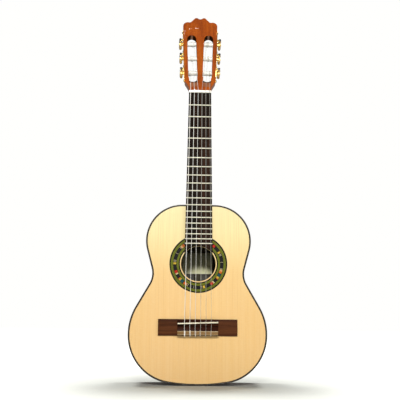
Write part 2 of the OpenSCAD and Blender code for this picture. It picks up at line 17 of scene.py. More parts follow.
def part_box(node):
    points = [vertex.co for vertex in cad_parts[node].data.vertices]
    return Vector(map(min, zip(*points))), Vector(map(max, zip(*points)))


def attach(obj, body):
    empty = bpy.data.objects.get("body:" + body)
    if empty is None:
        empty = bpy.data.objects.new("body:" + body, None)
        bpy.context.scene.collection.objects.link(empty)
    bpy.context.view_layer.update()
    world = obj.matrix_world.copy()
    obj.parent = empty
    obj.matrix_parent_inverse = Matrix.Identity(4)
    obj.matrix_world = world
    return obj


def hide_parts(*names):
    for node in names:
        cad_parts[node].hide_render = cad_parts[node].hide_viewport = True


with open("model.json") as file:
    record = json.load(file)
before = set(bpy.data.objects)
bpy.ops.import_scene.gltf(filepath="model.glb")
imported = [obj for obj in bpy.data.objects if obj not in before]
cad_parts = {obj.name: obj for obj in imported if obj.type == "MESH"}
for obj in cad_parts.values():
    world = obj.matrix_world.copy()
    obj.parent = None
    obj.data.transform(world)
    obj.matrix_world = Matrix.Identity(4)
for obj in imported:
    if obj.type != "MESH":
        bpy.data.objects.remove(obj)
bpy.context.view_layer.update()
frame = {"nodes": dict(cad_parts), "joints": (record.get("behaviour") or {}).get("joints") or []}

MM = 0.001
JOINTS = {joint["name"]: joint for joint in frame["joints"]}
STRING_NUMBERS = (6, 5, 4, 3, 2, 1)
WOUND = (6, 5, 4)


def mm(*values):
    """A point given in millimetres, in metres."""
    return Vector(values) * MM


# ---------------------------------------------------------------- places taken from the frame
NUT_LOW, NUT_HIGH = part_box("nut")
HEAD_Z = NUT_HIGH.z
NUT_Z = NUT_LOW.z
BRIDGE_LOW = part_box("bridge")[0]
SADDLE_LOW, SADDLE_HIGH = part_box("saddle")
BODY_LOW, BODY_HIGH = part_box("top_binding")
BACK_LOW, BACK_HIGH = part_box("back_binding")
LABEL_LOW, LABEL_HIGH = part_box("label")
JOINT_Z = BODY_HIGH.z
TAIL_Z = BODY_LOW.z
BACK_Y = BACK_HIGH.y
SADDLE_Z = (SADDLE_LOW.z + SADDLE_HIGH.z) / 2


# ---------------------------------------------------------------- mesh helpers
def new_object(name, vertices, faces, smooth=True):
    mesh = bpy.data.meshes.new(name)
    mesh.from_pydata([tuple(v) for v in vertices], [], faces)
    mesh.polygons.foreach_set("use_smooth", [smooth] * len(mesh.polygons))
    mesh.update()
    thing = bpy.data.objects.new(name, mesh)
    bpy.context.scene.collection.objects.link(thing)
    return thing


def recalculate(thing):
    """Turns every face outwards."""
    work = bmesh.new()
    work.from_mesh(thing.data)
    bmesh.ops.recalc_face_normals(work, faces=work.faces)
    work.to_mesh(thing.data)
    work.free()


def ring_faces(rings, sides, closed=False, capped=True):
    """Quads between neighbouring rings of points, with a cap at each open end."""
    faces = []
    for i in range(rings if closed else rings - 1):
        a, b = i * sides, (i + 1) % rings * sides
        for k in range(sides):
            m = (k + 1) % sides
            faces.append((a + k, a + m, b + m, b + k))
    if capped and not closed:
        faces.append(tuple(range(sides - 1, -1, -1)))
        faces.append(tuple(range((rings - 1) * sides, rings * sides)))
    return faces


def loft(name, rings, closed=False):
    """A skin over rings that have the same number of points."""
    points = [p for ring in rings for p in ring]
    thing = new_object(name, points, ring_faces(len(rings), len(rings[0]), closed))
    recalculate(thing)
    return thing


def lathe(name, profile, origin, axis, sides=48):
    """Turns a profile of (distance along the axis, radius) in millimetres about an axis."""
    axis = axis.normalized()
    side = axis.orthogonal().normalized()
    other = axis.cross(side)
    rings = []
    for along, radius in profile:
        rings.append([
            origin + axis * along * MM
            + (side * math.cos(a) + other * math.sin(a)) * radius * MM
            for a in (2 * math.pi * k / sides for k in range(sides))
        ])
    return loft(name, rings)


def tube(name, path, radius, sides=12, wire=0.0, wire_pitch=0.0005):
    """A round tube along a path. A wire above zero raises a fine winding round it."""
    points = path
    if wire:
        points = evenly(path, wire_pitch / 4)
    normal = (points[1] - points[0]).normalized().orthogonal().normalized()
    rings, travelled = [], 0.0
    for i, point in enumerate(points):
        ahead = points[min(i + 1, len(points) - 1)] - points[max(i - 1, 0)]
        ahead.normalize()
        normal = (normal - ahead * normal.dot(ahead)).normalized()
        across = ahead.cross(normal)
        if i:
            travelled += (point - points[i - 1]).length
        ring = []
        for k in range(sides):
            a = 2 * math.pi * k / sides
            r = radius - wire + wire * math.cos(2 * math.pi * travelled / wire_pitch - a)
            ring.append(point + (normal * math.cos(a) + across * math.sin(a)) * r)
        rings.append(ring)
    return loft(name, rings)


def evenly(path, step):
    """The same path with points a fixed step apart."""
    made, spare = [path[0].copy()], 0.0
    for a, b in zip(path, path[1:]):
        length = (b - a).length
        at = step - spare
        while at < length:
            made.append(a.lerp(b, at / length))
            at += step
        spare = length - (at - step)
    made.append(path[-1].copy())
    return made


def smooth_path(points, steps=8):
    """A Catmull-Rom curve through the points."""
    made = []
    for i in range(len(points) - 1):
        p0, p1 = points[max(i - 1, 0)], points[i]
        p2, p3 = points[i + 1], points[min(i + 2, len(points) - 1)]
        for k in range(steps):
            t = k / steps
            made.append(
                (p1 * 2 + (p2 - p0) * t + (p0 * 2 - p1 * 5 + p2 * 4 - p3) * t * t
                 + (p1 * 3 - p0 - p2 * 3 + p3) * t ** 3) / 2)
    made.append(points[-1].copy())
    return made


def soften(thing, width_mm, segments=2, angle=30):
    """Rounds an object's sharp edges and shades it smoothly."""
    thing.data.polygons.foreach_set("use_smooth", [True] * len(thing.data.polygons))
    weld = thing.modifiers.new("weld", "WELD")
    weld.merge_threshold = 0.002 * MM
    bevel = thing.modifiers.new("edges", "BEVEL")
    bevel.width = width_mm * MM
    bevel.segments = segments
    bevel.limit_method = "ANGLE"
    bevel.angle_limit = math.radians(angle)
    bevel.harden_normals = True
    return thing


# ---------------------------------------------------------------- materials
class Look:
    """Builds one node material round a Principled shader."""

    def __init__(self, name, **sockets):
        self.material = bpy.data.materials.new(name)
        self.material.use_nodes = True
        self.nodes = self.material.node_tree.nodes
        self.links = self.material.node_tree.links
        self.shader = self.nodes["Principled BSDF"]
        for key, value in sockets.items():
            self.shader.inputs[key.replace("_", " ")].default_value = value

    def add(self, kind, inputs=None, **settings):
        node = self.nodes.new("ShaderNode" + kind)
        for key, value in settings.items():
            setattr(node, key, value)
        for key, value in (inputs or {}).items():
            if isinstance(value, bpy.types.NodeSocket):
                self.links.new(value, node.inputs[key])
            else:
                node.inputs[key].default_value = value
        return node

    def coords(self, scale=(1, 1, 1), turn=(0, 0, 0)):
        source = self.add("TexCoord")
        mapping = self.add("Mapping", {"Vector": source.outputs["Object"]})
        mapping.inputs["Scale"].default_value = scale
        mapping.inputs["Rotation"].default_value = turn
        return mapping.outputs["Vector"]

    def noise(self, vector, scale, detail=4.0, rough=0.55, distort=0.0):
        node = self.add("TexNoise", {
            "Vector": vector, "Scale": scale, "Detail": detail,
            "Roughness": rough, "Distortion": distort})
        return node.outputs["Fac"]

    def ramp(self, value, stops, mode="LINEAR"):
        """Colours or greys at positions: stops are (position, colour or grey)."""
        node = self.add("ValToRGB", {"Fac": value})
        node.color_ramp.interpolation = mode
        elements = node.color_ramp.elements
        while len(elements) < len(stops):
            elements.new(0.5)
        for element, (position, colour) in zip(elements, stops):
            if not isinstance(colour, tuple):
                colour = (colour, colour, colour)
            element.position = position
            element.color = (*colour, 1.0)
        return node.outputs["Color"]

    def mix(self, factor, a, b, blend="MIX"):
        node = self.add("Mix", data_type="RGBA", blend_type=blend)
        for key, value in (("Factor", factor), ("A", a), ("B", b)):
            socket = [s for s in node.inputs if s.name == key and s.enabled][0]
            if isinstance(value, bpy.types.NodeSocket):
                self.links.new(value, socket)
            elif key == "Factor":
                socket.default_value = value
            else:
                socket.default_value = (*value, 1.0)
        return [s for s in node.outputs if s.enabled][0]

    def maths(self, operation, a, b=0.0, c=0.0):
        node = self.add("Math", operation=operation)
        for i, value in enumerate((a, b, c)):
            if isinstance(value, bpy.types.NodeSocket):
                self.links.new(value, node.inputs[i])
            else:
                node.inputs[i].default_value = value
        return node.outputs[0]

    def colour(self, socket):
        self.links.new(socket, self.shader.inputs["Base Color"])

    def roughness(self, value, low, high):
        """Roughness that varies with a value of 0 to 1."""
        node = self.add("MapRange", {"Value": value, "To Min": low, "To Max": high})
        self.links.new(node.outputs["Result"], self.shader.inputs["Roughness"])

    def bump(self, height, strength, distance_mm):
        node = self.add("Bump", {
            "Height": height, "Strength": strength, "Distance": distance_mm * MM})
        self.links.new(node.outputs["Normal"], self.shader.inputs["Normal"])


GRAIN_UP = (1.0, 1.0, 0.016)      # fibres run along Z
GRAIN_ACROSS = (0.03, 1.0, 1.0)   # fibres run along X


def wood(name, pale, mid, dark, stretch=GRAIN_UP, fibre=900.0, figure=60.0, rough=(0.3, 0.45),
         coat=0.0, coat_rough=0.08, pores=0.0, bump=0.25, turn=(0, 0, 0), gloss=0.5,
         painted_shade=None, painted_shade_colour=None):
    """Streaky wood: a broad figure, fine fibres and, where asked, dark open pores and painted shade.
    """
    look = Look(name, Coat_Weight=coat, Coat_Roughness=coat_rough, Specular_IOR_Level=gloss)
    place = look.coords(stretch, turn)
    broad = look.noise(place, figure, 3.0, 0.5, 0.6)
    fine = look.noise(place, fibre, 5.0, 0.65)
    base = look.ramp(broad, [(0.25, dark), (0.5, mid), (0.75, pale)])
    streak = look.ramp(fine, [(0.3, 0.62), (0.55, 0.95), (0.8, 1.08)])
    tone = look.mix(0.85, base, streak, "MULTIPLY")
    height = fine
    if pores:
        pits = look.noise(look.coords((1.0, 1.0, 0.05) if stretch == GRAIN_UP else (0.05, 1, 1)),
                          1900.0, 2.0, 0.5)
        holes = look.ramp(pits, [(0.30, 0.35), (0.40, 1.0)])
        tone = look.mix(pores, tone, holes, "MULTIPLY")
        height = look.maths("MULTIPLY", fine, holes)
    # where given, the painted-shade hook darkens the colour where shade falls
    look.colour(painted_shade(look, tone, painted_shade_colour) if painted_shade else tone)
    look.roughness(fine, *rough)
    look.bump(height, bump, 0.05)
    return look.material


HEAD_ANGLE = math.radians(12)        # the head leans back from the neck
HEAD_DEPTH = 15.5                    # below the veneer
VENEER = 1.5
SKIN = 0.25                          # kept free of the painted slot shade at the head's front and back
SLOT_LOW, SLOT_HIGH = 24.0, 133.6    # heights of the slots' ends along the head's face
SLOT_OUT, SLOT_V = 26.4, 95.0        # the slots' outer walls are this far from the middle, this high
EDGE_LEAN = math.radians(2)          # and lean outwards by this much


def painted_slot_shade(look, tone, dark):
    """Paints shade on the walls inside the head's slots, darkening and dulling them, and leaves its
    outer faces alone.
    """
    split = look.add("SeparateXYZ", {"Vector": look.coords()})
    up = look.maths("SUBTRACT", split.outputs["Z"], HEAD_Z)
    lean, rise = math.sin(HEAD_ANGLE), math.cos(HEAD_ANGLE)
    along = look.maths("MULTIPLY_ADD", up, rise, look.maths("MULTIPLY", split.outputs["Y"], lean))
    depth = look.maths("MULTIPLY_ADD", up, -lean,
                       look.maths("MULTIPLY", split.outputs["Y"], rise))
    aside = look.maths("ABSOLUTE", split.outputs["X"])
    reach = look.maths("MULTIPLY_ADD", look.maths("SUBTRACT", along, SLOT_V * MM),
                       math.tan(EDGE_LEAN), SLOT_OUT * MM)
    inside = look.maths("LESS_THAN", aside, reach)
    for limit, operation, value in (
            (along, "GREATER_THAN", SLOT_LOW), (along, "LESS_THAN", SLOT_HIGH),
            (depth, "GREATER_THAN", SKIN - VENEER), (depth, "LESS_THAN", HEAD_DEPTH - SKIN)):
        inside = look.maths("MULTIPLY", inside, look.maths(operation, limit, value * MM))
    for socket in ("Specular IOR Level", "Coat Weight"):
        full = look.shader.inputs[socket].default_value
        look.links.new(look.maths("MULTIPLY_ADD", inside, -full, full), look.shader.inputs[socket])
    return look.mix(inside, tone, dark)


def dark_inside(look, tone, dark):
    """Painted shade: the back's inner face, which lies in the dark of the body, is darkened."""
    depth = look.add("SeparateXYZ", {"Vector": look.coords()}).outputs["Y"]
    inner = look.maths("MULTIPLY", look.maths("LESS_THAN", depth, BACK_Y - 2 * MM),
                       look.maths("GREATER_THAN", depth, BACK_LOW.y + 0.5 * MM))
    return look.mix(inner, tone, dark)


def darker_middle(look, tone, dark):
    """Painted shade: the bridge's middle block, where the channels by its saddle lie in shade, is
    darker than its wings.
    """
    split = look.add("SeparateXYZ", {"Vector": look.coords()})
    half = (SADDLE_HIGH.x - SADDLE_LOW.x) / 2 + 0.4 * MM
    inside = look.maths("LESS_THAN", look.maths("ABSOLUTE", split.outputs["X"]), half)
    return look.mix(inside, tone, look.mix(1.0, tone, dark, "MULTIPLY"))


def spruce_top():
    """Fine straight growth lines, matched about the centre seam, under a thin satin lacquer."""
    look = Look("spruce_top", Coat_Weight=0.1, Coat_Roughness=0.3, Specular_IOR_Level=0.22)
    split = look.add("SeparateXYZ", {"Vector": look.coords()})
    half = look.maths("ABSOLUTE", split.outputs["X"])
    sway = look.noise(look.coords((1, 1, 1)), 5.0, 2.0, 0.4)
    bent = look.maths("MULTIPLY_ADD", sway, 0.0035, half)
    along = look.maths("MULTIPLY", split.outputs["Z"], 0.012)
    grain = look.add("CombineXYZ", {"X": bent, "Z": along}).outputs[0]
    # growth lines about 1.3 mm apart, uneven in width and strength
    lines = look.noise(grain, 760.0, 2.5, 0.55)
    bands = look.noise(grain, 95.0, 2.0, 0.5)
    silk = look.noise(look.coords((0.35, 1.0, 1.0)), 420.0, 3.0, 0.6)
    patch = look.noise(look.coords(), 5.5, 2.0, 0.5)
    height_share = look.add("MapRange", {
        "Value": split.outputs["Z"], "From Min": TAIL_Z, "From Max": JOINT_Z}).outputs["Result"]
    # painted light: the board grows lighter and yellower towards its top, where the lamps above fall
    # more strongly
    tone_and_painted_light = look.ramp(height_share, [
        (0.0, (0.865, 0.555, 0.226)), (0.35, (0.89, 0.575, 0.23)), (0.62, (0.90, 0.62, 0.263)),
        (0.85, (0.92, 0.80, 0.41)), (1.0, (0.92, 0.84, 0.46))])
    tone_and_painted_light = look.mix(look.ramp(patch, [(0.35, 0.0), (0.7, 0.35)]), tone_and_painted_light, (0.92, 0.58, 0.27))
    lined = look.mix(look.ramp(lines, [(0.50, 0.0), (0.64, 0.20)]), tone_and_painted_light, (0.66, 0.34, 0.12))
    lined = look.mix(look.ramp(bands, [(0.42, 0.0), (0.75, 0.20)]), lined, (0.97, 0.72, 0.38))
    sheen = look.mix(look.ramp(silk, [(0.45, 0.0), (0.75, 0.10)]), lined, (1.0, 0.84, 0.55))
    look.colour(sheen)
    look.roughness(silk, 0.34, 0.46)
    look.bump(lines, 0.12, 0.03)
    return look.material


def plastic(name, colour, rough=(0.22, 0.36), speckle=0.06, coat=0.2, **sockets):
    """Moulded plastic with faint cloudiness, scuffs and a little wear."""
    look = Look(name, Coat_Weight=coat, Coat_Roughness=0.12, **sockets)
    cloud = look.noise(look.coords(), 260.0, 4.0, 0.6)
    scuff = look.noise(look.coords((1, 1, 0.3)), 1900.0, 3.0, 0.7)
    low = tuple(c * (1 - speckle) for c in colour)
    yellowed = (colour[0], colour[1] * 0.985, colour[2] * 0.94)
    tone = look.mix(look.ramp(cloud, [(0.3, 0.0), (0.7, 1.0)]), low, yellowed)
    look.colour(tone)
    look.roughness(scuff, *rough)
    look.bump(scuff, 0.06, 0.02)
    return look.material


def metal(name, colour, rough=(0.16, 0.34), tarnish=(0.7, 0.55, 0.42), amount=0.25,
          metallic=1.0):
    """Polished metal with fine scratches and duller, darker patches."""
    look = Look(name, Metallic=metallic)
    patch = look.noise(look.coords(), 330.0, 4.0, 0.6)
    scratch = look.noise(look.coords((1, 1, 0.04)), 2600.0, 3.0, 0.7)
    dull = tuple(c * t for c, t in zip(colour, tarnish))
    spread = look.ramp(patch, [(0.42, 0.0), (0.72, amount)])
    look.colour(look.mix(spread, colour, dull))
    look.roughness(scratch, *rough)
    look.bump(scratch, 0.08, 0.015)
    return look.material


def axis_distance(look):
    """Distance from the soundhole's axis, in metres."""
    split = look.add("SeparateXYZ", {"Vector": look.coords()})
    flat = look.add("CombineXYZ", {"X": split.outputs["X"], "Z": split.outputs["Z"]})
    return look.add("VectorMath", {0: flat.outputs[0]}, operation="LENGTH").outputs["Value"]


ROSETTE_IN, ROSETTE_OUT = 36.0, 56.5


def rosette_rings():
    """Black, green, mosaic, green and black rings, with a fine weave in the green ones."""
    look = Look("rosette_rings", Coat_Weight=0.05, Coat_Roughness=0.2, Specular_IOR_Level=0.1)
    radius = axis_distance(look)
    share = look.add("MapRange", {
        "Value": radius, "From Min": ROSETTE_IN * MM, "From Max": ROSETTE_OUT * MM})
    black, green, ground = (0.006, 0.006, 0.006), (0.145, 0.165, 0.018), (0.008, 0.007, 0.007)
    rings = look.ramp(share.outputs["Result"], [
        (0.0, black), (0.11, green), (0.32, ground), (0.65, green), (0.87, black)], "CONSTANT")
    weave = look.add("TexChecker", {
        "Vector": look.coords((1, 1, 1), (0, 0.785, 0)), "Scale": 700.0,
        "Color1": (1.35, 1.3, 1.1, 1), "Color2": (0.40, 0.46, 0.4, 1)}).outputs["Color"]
    soft = look.noise(look.coords(), 700.0, 3.0)
    tone = look.mix(0.8, rings, weave, "MULTIPLY")
    look.colour(look.mix(0.35, tone, look.ramp(soft, [(0.3, 0.55), (0.7, 1.35)]), "MULTIPLY"))
    look.roughness(soft, 0.25, 0.4)
    look.bump(soft, 0.1, 0.02)
    return look.material


def inlay_light():
    """The tie block's overlay: tan wood between two pale edge lines."""
    look = Look("inlay_light", Specular_IOR_Level=0.12)
    low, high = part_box("tie_block_inlay")
    split = look.add("SeparateXYZ", {"Vector": look.coords()})
    share = look.add("MapRange", {
        "Value": split.outputs["Z"], "From Min": low.z, "From Max": high.z}).outputs["Result"]
    tan, line, dark = (0.27, 0.15, 0.055), (0.52, 0.38, 0.20), (0.06, 0.025, 0.010)
    bands = look.ramp(share, [
        (0.0, line), (0.14, dark), (0.18, tan), (0.82, dark), (0.86, line)], "CONSTANT")
    grain = look.noise(look.coords((0.03, 1, 1)), 1200.0, 4.0, 0.6)
    look.colour(look.mix(0.5, bands, look.ramp(grain, [(0.3, 0.6), (0.7, 1.2)]), "MULTIPLY"))
    look.roughness(grain, 0.3, 0.45)
    look.bump(grain, 0.15, 0.03)
    return look.material


def paper():
    """Cream label paper, darkened towards its top, which lies in the fingerboard's shade."""
    look = Look("paper", Specular_IOR_Level=0.2)
    fibre = look.noise(look.coords(), 2400.0, 4.0, 0.7)
    cloud = look.noise(look.coords(), 90.0, 3.0)
    cream, pale_cream = (0.92, 0.91, 0.56), (1.0, 0.99, 0.66)
    tone = look.mix(look.ramp(cloud, [(0.3, 0.0), (0.7, 1.0)]), cream, pale_cream)
    split = look.add("SeparateXYZ", {"Vector": look.coords()})
    height_share = look.add("MapRange", {
        "Value": split.outputs["Z"], "From Min": LABEL_LOW.z, "From Max": LABEL_HIGH.z,
    }).outputs["Result"]
    shade = look.ramp(height_share, [(0.2, 1.0), (0.5, 0.6), (1.0, 0.22)])
    tone = look.mix(1.0, tone, shade, "MULTIPLY")
    look.colour(look.mix(0.15, tone, look.ramp(fibre, [(0.3, 0.7), (0.7, 1.1)]), "MULTIPLY"))
    look.roughness(fibre, 0.75, 0.9)
    look.bump(fibre, 0.1, 0.02)
    return look.material


def nylon():
    """Clear, slightly milky string."""
    look = Look("nylon", Transmission_Weight=0.25, IOR=1.4, Alpha=0.35)
    cloud = look.noise(look.coords((1, 1, 0.1)), 700.0, 3.0)
    look.colour(look.mix(cloud, (0.78, 0.75, 0.66), (0.92, 0.90, 0.84)))
    look.roughness(cloud, 0.3, 0.42)
    return look.material


def floor_look():
    """A grey floor with a painted glow, for the camera only, that rises away from the guitar: it
    fades into the white backdrop far off and leaves painted shade round the guitar.
    """
    look = Look("studio_floor", Specular_IOR_Level=0.15)
    cloud = look.noise(look.coords(), 2.0, 3.0)
    # the floor's own colour is a mid grey: painted shade round the guitar, where the glow below is
    # faint
    look.colour(look.mix(cloud, (0.35, 0.36, 0.33), (0.38, 0.39, 0.36)))
    look.roughness(cloud, 0.6, 0.75)
    away = look.add("VectorMath", {0: look.coords()}, operation="LENGTH").outputs["Value"]
    # painted light: a glow seen by the camera only, rising with distance from the guitar until the
    # floor reads white
    painted_glow = look.add("MapRange", {
        "Value": away, "From Min": 0.12, "From Max": 0.5, "To Min": 0.02, "To Max": 1.0,
    }).outputs["Result"]
    seen = look.add("LightPath").outputs["Is Camera Ray"]
    look.links.new(look.maths("MULTIPLY", painted_glow, seen), look.shader.inputs["Emission Strength"])
    look.shader.inputs["Emission Color"].default_value = (1.0, 1.0, 0.96, 1.0)
    return look.material


SPRUCE = spruce_top()
SPRUCE_INSIDE = wood("spruce_inside", (0.74, 0.55, 0.32), (0.66, 0.47, 0.26), (0.55, 0.38, 0.20),
                     rough=(0.6, 0.8), fibre=800.0)
SPRUCE_SHADED = wood("spruce_shaded", (0.07, 0.058, 0.028), (0.055, 0.045, 0.022),
                     (0.04, 0.033, 0.016), rough=(0.6, 0.8), fibre=800.0)
# painted shade darkens the back's inner face
MAHOGANY = wood("mahogany", (0.42, 0.135, 0.045), (0.31, 0.085, 0.028), (0.20, 0.05, 0.018),
                rough=(0.25, 0.4), coat=1.0, coat_rough=0.05, pores=0.5, figure=38.0,
                painted_shade=dark_inside, painted_shade_colour=(0.022, 0.015, 0.006))
MAHOGANY_INSIDE = wood("mahogany_inside", (0.50, 0.26, 0.13), (0.42, 0.20, 0.10), (0.32, 0.15, 0.07),
                       rough=(0.6, 0.8), pores=0.4)
NECK_TONES = ((0.46, 0.16, 0.045), (0.36, 0.11, 0.03), (0.24, 0.07, 0.02))
NECK_WOOD = wood("neck_wood", *NECK_TONES, rough=(0.3, 0.42), coat=0.6, coat_rough=0.14,
                 pores=0.55, figure=70.0)
# the head's core gets painted shade inside its slots
HEAD_CORE = wood("head_core", *NECK_TONES, rough=(0.34, 0.5), coat=0.2, coat_rough=0.2,
                 pores=0.55, figure=70.0, painted_shade=painted_slot_shade, painted_shade_colour=(0.045, 0.014, 0.005))
# the head's veneer gets painted shade inside its slots
HEAD_WOOD = wood("head_wood", (0.51, 0.11, 0.006), (0.39, 0.072, 0.004), (0.265, 0.044, 0.003),
                 rough=(0.22, 0.34), coat=0.35, coat_rough=0.04, pores=0.3, figure=90.0,
                 gloss=0.04, painted_shade=painted_slot_shade, painted_shade_colour=(0.10, 0.022, 0.004))
FINGERBOARD = wood("fingerboard_wood", (0.055, 0.021, 0.011), (0.016, 0.010, 0.007),
                   (0.007, 0.006, 0.004), rough=(0.45, 0.6), figure=160.0, pores=0.5,
                   stretch=(1.0, 1.0, 0.02), gloss=0.03)
# painted shade darkens the bridge's middle block
ROSEWOOD = wood("bridge_wood", (0.15, 0.050, 0.017), (0.085, 0.027, 0.010), (0.04, 0.014, 0.007),
                rough=(0.34, 0.5), stretch=GRAIN_ACROSS, figure=110.0, pores=0.5, gloss=0.06,
                painted_shade=darker_middle, painted_shade_colour=(0.42, 0.30, 0.26))
BINDING = plastic("binding_black", (0.030, 0.022, 0.014), (0.28, 0.42), coat=0.15,
                  Specular_IOR_Level=0.25)
BONE = plastic("nut_white", (0.86, 0.83, 0.74), (0.2, 0.32))
IVORY = plastic("saddle_ivory", (0.88, 0.82, 0.64), (0.2, 0.32))
SLEEVE = plastic("roller_white", (0.93, 0.92, 0.88), (0.2, 0.32))
BUTTON = plastic("button_gold", (0.60, 0.36, 0.09), (0.16, 0.3), speckle=0.2, coat=0.8, Metallic=0.55)
GOLD = metal("gold_plate", (0.90, 0.62, 0.20))
GEAR_GOLD = metal("gear_gold", (0.86, 0.58, 0.20), (0.2, 0.4))
NICKEL = metal("fret_nickel", (0.82, 0.79, 0.64), (0.42, 0.56), (0.8, 0.76, 0.66), metallic=0.5)
BLACK_STEEL = metal("black_steel", (0.055, 0.052, 0.050), (0.2, 0.38), (0.6, 0.6, 0.6))
WINDING = metal("string_winding", (0.97, 0.96, 0.92), (0.4, 0.55), (0.85, 0.82, 0.78),
                metallic=0.4)
NYLON = nylon()
ROSETTE = rosette_rings()
INLAY = inlay_light()
PAPER = paper()


# ---------------------------------------------------------------- the CAD's own pieces
def dress(nodes, material, width_mm=0.0, segments=2):
    """Gives CAD nodes their material and, where asked, softened edges."""
    for name in nodes:
        thing = frame["nodes"][name]
        thing.data.materials.clear()
        thing.data.materials.append(material)
        if width_mm:
            soften(thing, width_mm, segments)


dress(["soundboard"], SPRUCE)
dress(["back_plate", "rib_bass", "rib_treble"], MAHOGANY, 0.08)
dress(["top_linings", "back_linings", "harmonic_bars", "fan_braces"], SPRUCE_INSIDE, 0.4)
dress(["back_braces", "back_centre_strip"], SPRUCE_SHADED, 0.4)
dress(["neck_block", "tail_block"], MAHOGANY_INSIDE, 0.5)
dress(["top_binding", "back_binding"], BINDING, 0.6, 3)
dress(["end_graft"], BINDING, 0.05)
dress(["heel_cap"], BINDING, 0.5)
dress(["rosette"], ROSETTE)
dress(["label"], PAPER)
dress(["neck"], NECK_WOOD, 0.5, 3)
dress(["headstock"], HEAD_CORE, 0.5, 3)
dress(["head_veneer"], HEAD_WOOD, 0.45, 3)
dress(["fingerboard"], FINGERBOARD, 0.25)
dress(["frets"], NICKEL, 0.1)
dress(["nut"], BONE, 0.35, 3)
dress(["bridge"], ROSEWOOD, 0.35, 3)
dress(["tie_block_inlay"], INLAY, 0.2)
dress(["saddle"], IVORY, 0.7, 4)
dress(["tuner_plate_bass", "tuner_plate_treble"], GOLD, 0.2)
dress(["tuner_screws"], BLACK_STEEL, 0.2)
for number in STRING_NUMBERS:
    dress([f"gear_{number}"], GEAR_GOLD, 0.15)
    dress([f"worm_{number}"], BLACK_STEEL, 0.08)
    dress([f"button_{number}"], BUTTON, 1.2, 4)
    dress([f"roller_{number}"], SLEEVE, 0.3)
    dress([f"string_{number}"], WINDING if number in WOUND else NYLON)


# ---------------------------------------------------------------- the tuning machines
POST_POINT_MM = 10.0       # the joint's point lies this far inside the head's edge
ROLLER_R = 5.0
ROLLER_LENGTH = 30.6
CHEEK, SLOT_WIDTH = 7.8, 19.0      # from the head's edge to its slot, and across the slot
STRING_HOLE_R = 0.9
AXLE_HALF = 1.5            # half the width of the axle's square end
AXLE_END = 7.9
BUTTON_START = 9.9         # where the button's collar begins, behind the worm's middle
WRAPS = 3
WRAP_GAP = 0.06            # between neighbouring turns
LIE_GAP = 0.12             # between a string and its roller
WIRE, WIRE_PITCH = 0.035, 0.6      # the fine wire round the bass strings
STRING_D = {6: 1.09, 5: 0.89, 4: 0.74, 3: 1.03, 2: 0.82, 1: 0.71}
WRAP_X = {6: -13.5, 5: -18.0, 4: -21.2, 3: -21.2, 2: -18.0, 1: -13.5}    # where the turns begin


class Machine:
    """One tuning machine's own axes: out along the roller, back into the head, up its face.
    centre is on the roller's axis, level with the head's edge."""

    def __init__(self, number):
        post, peg = JOINTS[f"post_{number}_turn"], JOINTS[f"peg_{number}_turn"]
        self.out = Vector(post["axis"]).normalized()
        self.back = Vector(peg["axis"]).normalized()
        self.up = self.out.cross(self.back)
        if self.up.z < 0:
            self.up.negate()
        self.centre = Vector(post["pos_m"]) + self.out * POST_POINT_MM * MM
        self.worm = Vector(peg["pos_m"])

    def at(self, along_out, along_back, along_up):
        """A point in the machine's axes, in millimetres, as a point of the frame."""
        return (self.centre + self.out * along_out * MM + self.back * along_back * MM
                + self.up * along_up * MM)


def lie(number):
    """Distance of a string's middle from its roller's axis."""
    return ROLLER_R + STRING_D[number] / 2 + LIE_GAP


def string_hole_x(number):
    """Place of the roller's string hole along its axis, just past the turns."""
    d = STRING_D[number]
    return WRAP_X[number] + WRAPS * (d + WRAP_GAP) + d / 2 + 1.1


def roller_sleeve(number, machine):
    """A moulded sleeve with rounded ends, shallow flanges by the slot's walls and a string hole."""
    r, end = ROLLER_R, -ROLLER_LENGTH
    near, far = -CHEEK - 0.3, -CHEEK - SLOT_WIDTH + 0.3     # the flanges' inner edges
    profile = [
        (end, 0.0), (end, r - 0.8), (end + 0.4, r - 0.15), (end + 1.0, r),
        (far, r), (far + 0.3, r - 0.22), (far + 1.0, r - 0.3),
        (near - 1.0, r - 0.3), (near - 0.3, r - 0.22), (near, r),
        (-1.0, r), (-0.5, r - 0.15), (-0.15, r - 0.8),
        (-0.15, 2.0), (0.8, 2.0), (1.3, 1.9), (1.3, 0.0),
    ]
    sleeve = lathe(f"roller_sleeve_{number}", profile, machine.centre, machine.out, 64)
    reach = ROLLER_R + 3
    cutter = lathe("cutter", [(-reach, 0.0), (-reach, STRING_HOLE_R), (reach, STRING_HOLE_R),
                              (reach, 0.0)],
                   machine.at(string_hole_x(number), 0, 0), machine.up, 24)
    apply_boolean(sleeve, cutter)
    sleeve.data.materials.append(SLEEVE)
    soften(sleeve, 0.12, 2)
    return sleeve


def apply_boolean(thing, cutter):
    """Cuts the cutter out of a mesh for good, and removes the cutter."""
    cut = thing.modifiers.new("cut", "BOOLEAN")
    cut.object = cutter
    cut.operation = "DIFFERENCE"
    cut.solver = "EXACT"
    bpy.context.view_layer.update()
    made = bpy.data.meshes.new_from_object(
        thing.evaluated_get(bpy.context.evaluated_depsgraph_get()))
    thing.modifiers.clear()
    thing.data = made
    bpy.data.objects.remove(cutter)


def roller_axle(number, machine):
    """The square end that carries the gear."""
    rings = []
    for x in (1.2, AXLE_END):
        rings.append([machine.at(x, a * AXLE_HALF, b * AXLE_HALF)
                      for a, b in ((-1, -1), (1, -1), (1, 1), (-1, 1))])
    axle = loft(f"roller_axle_{number}", rings)
    axle.data.materials.append(GEAR_GOLD)
    return soften(axle, 0.1)


